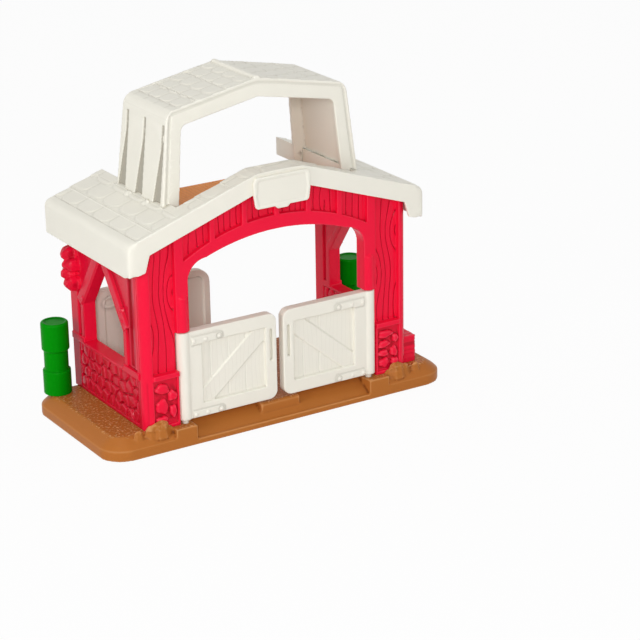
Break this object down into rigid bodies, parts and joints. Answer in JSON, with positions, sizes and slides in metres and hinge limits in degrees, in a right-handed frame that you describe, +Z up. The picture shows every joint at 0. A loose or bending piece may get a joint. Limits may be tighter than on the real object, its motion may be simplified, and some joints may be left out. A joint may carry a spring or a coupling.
{
  "type": "toy barn",
  "caption": "Toy barn with a carry handle, an arched doorway, swinging half doors, side windows and an open back.",
  "frame": {"origin": "under the middle of the barn's overall box, on the surface it stands on", "axes": "+X along the front to the viewer's right, +Y from the front doors to the open back, +Z up"},
  "size_m": [0.2456, 0.1142, 0.2156],
  "materials": {
    "brown_plastic": "satin",
    "tan_plastic": "satin",
    "red_plastic": "gloss",
    "white_plastic": "satin",
    "green_plastic": "gloss",
    "screw_steel": "zinc plated"
  },
  "bodies": {
    "root": {"base_tray": "brown_plastic", "front_wall": "red_plastic", "left_wall": "red_plastic", "right_wall": "red_plastic", "loft_floor": "tan_plastic", "roof_shell": "white_plastic", "handle_shell": "white_plastic", "handle_liner": "white_plastic", "sign_plate": "white_plastic", "left_post": "green_plastic", "right_post": "green_plastic", "wall_screws": "screw_steel", "post_screws": "screw_steel", "loft_screws": "screw_steel", "roof_screws": "screw_steel", "handle_screws": "screw_steel"},
    "left_door": {"left_door": "white_plastic"},
    "right_door": {"right_door": "white_plastic"},
    "rear_door": {"rear_door": "white_plastic"}
  },
  "joints": [
    {"name": "left_door_hinge", "type": "hinge", "parent": "root", "child": "left_door", "pos_m": [-0.0669, -0.04695, 0.0433], "axis": [0, 0, -1], "range_deg": [0, 100]},
    {"name": "right_door_hinge", "type": "hinge", "parent": "root", "child": "right_door", "pos_m": [0.0669, -0.04695, 0.0433], "axis": [0, 0, 1], "range_deg": [0, 100]},
    {"name": "rear_door_hinge", "type": "hinge", "parent": "root", "child": "rear_door", "pos_m": [-0.0823, 0.0442, 0.0433], "axis": [0, 0, 1], "range_deg": [0, 95]}
  ]
}
